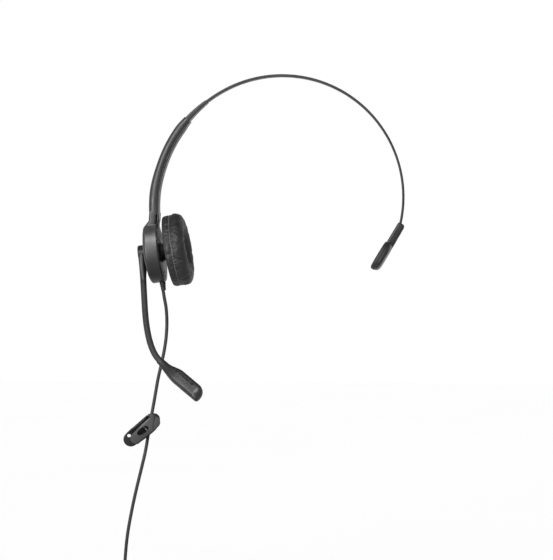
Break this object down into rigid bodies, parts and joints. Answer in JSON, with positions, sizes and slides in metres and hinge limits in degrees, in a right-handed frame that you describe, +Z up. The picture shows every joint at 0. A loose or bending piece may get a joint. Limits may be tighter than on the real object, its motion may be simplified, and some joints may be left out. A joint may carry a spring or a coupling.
{
  "type": "office headset",
  "caption": "One-ear office headset: sprung headband with padded temple bar, sliding arm, ball-jointed ear cup, swinging microphone boom, clothing clip and coiled lead with a handset plug.",
  "frame": {"origin": "where the headband's underside touches the crown of the head, on the band's centre line", "axes": "+Z up, the wearer faces -Y, the ear cup is at -X and the temple bar at +X"},
  "size_m": [0.2128, 0.0916, 0.4168],
  "materials": {
    "satin_plastic": "charcoal moulded plastic, fine spark texture, satin",
    "band_coat": "spring steel strip with a thin black satin coat",
    "soft_rubber": "soft black moulded rubber, matt",
    "leatherette": "thin black imitation leather over foam, fine wrinkles",
    "cord_jacket": "black flexible cord jacket, satin",
    "steel": "bright steel",
    "brass": "gold-plated contact blade",
    "speaker_film": "thin moulded polymer film",
    "clear_plastic": "clear polycarbonate"
  },
  "bodies": {
    "headband": {"headband_spring": "band_coat", "slider_block": "satin_plastic", "slider_rivet": "steel"},
    "temple_bar": {"temple_bar_body": "satin_plastic", "temple_pin": "steel", "temple_pad": "soft_rubber"},
    "arm": {"arm_outer_shell": "satin_plastic", "arm_inner_shell": "satin_plastic", "pod_screw_1": "steel", "pod_screw_2": "steel", "pod_screw_3": "steel", "detent_leaf": "steel", "strain_relief": "soft_rubber", "headset_cord": "cord_jacket", "cord_coil": "cord_jacket", "cord_tie": "soft_rubber", "cord_tail": "cord_jacket", "plug_body": "clear_plastic", "plug_press_bar": "clear_plastic", "plug_contact_1": "brass", "plug_contact_2": "brass", "plug_contact_3": "brass", "plug_contact_4": "brass", "clip_cable_holder": "satin_plastic"},
    "ball_liner": {"ball_liner": "satin_plastic"},
    "ear_cup": {"ball_stud": "steel", "speaker_back_shell": "satin_plastic", "speaker_magnet": "steel", "speaker_basket": "satin_plastic", "speaker_diaphragm": "speaker_film", "speaker_grille": "satin_plastic", "ear_cushion": "leatherette"},
    "boom": {"boom_hub": "satin_plastic", "boom_hub_cap": "satin_plastic", "boom_spring_washer": "steel", "boom_screw": "steel", "boom_flex": "soft_rubber"},
    "mic_boom": {"boom_tip_stub": "soft_rubber", "mic_front_shell": "satin_plastic", "mic_back_shell": "satin_plastic", "mic_capsule": "steel", "mic_boot": "soft_rubber"},
    "clip": {"clip_back_jaw": "satin_plastic", "clip_pin": "steel", "clip_spring": "steel"},
    "clip_jaw": {"clip_front_jaw": "satin_plastic"},
    "plug_latch": {"plug_latch": "clear_plastic"}
  },
  "joints": [
    {"name": "band_slide", "type": "hinge", "parent": "headband", "child": "arm", "pos_m": [0.00307, 0, -0.09539], "axis": [0, 1, 0], "range_deg": [-13, 9]},
    {"name": "temple_tilt", "type": "hinge", "parent": "headband", "child": "temple_bar", "pos_m": [0.08673, 0, -0.11315], "axis": [0, 1, 0], "range_deg": [-12, 12]},
    {"name": "cup_tilt", "type": "hinge", "parent": "arm", "child": "ball_liner", "pos_m": [-0.08787, 0, -0.1296], "axis": [0, 1, 0], "range_deg": [-2.5, 11]},
    {"name": "cup_swivel", "type": "hinge", "parent": "ball_liner", "child": "ear_cup", "pos_m": [-0.08787, 0, -0.1296], "axis": [-0.165, 0, 0.9863], "range_deg": [-7, 7]},
    {"name": "boom_swing", "type": "hinge", "parent": "arm", "child": "boom", "pos_m": [-0.10322, 0, -0.13176], "axis": [0.9903, 0, 0.1392], "range_deg": [-300, 15]},
    {"name": "mic_bend", "type": "hinge", "parent": "boom", "child": "mic_boom", "pos_m": [-0.09364, -0.03577, -0.19297], "axis": [0.0696, 0.866, -0.4951], "range_deg": [-25, 25], "deforming": ["boom_flex"]},
    {"name": "clip_swivel", "type": "hinge", "parent": "arm", "child": "clip", "pos_m": [-0.0976, 0, -0.2545], "axis": [-0.1698, 0.9659, 0.1953], "range_deg": [-10, 100]},
    {"name": "clip_open", "type": "hinge", "parent": "clip", "child": "clip_jaw", "pos_m": [-0.10039, -0.00773, -0.25967], "axis": [0.6337, 0.2588, -0.729], "range_deg": [-18, 0], "stiffness_Nm_per_rad": 0.02, "springref_deg": 11.46},
    {"name": "latch_press", "type": "hinge", "parent": "arm", "child": "plug_latch", "pos_m": [-0.1181, -0.00345, -0.4142], "axis": [1, 0, 0], "range_deg": [0, 10], "stiffness_Nm_per_rad": 0.02}
  ]
}
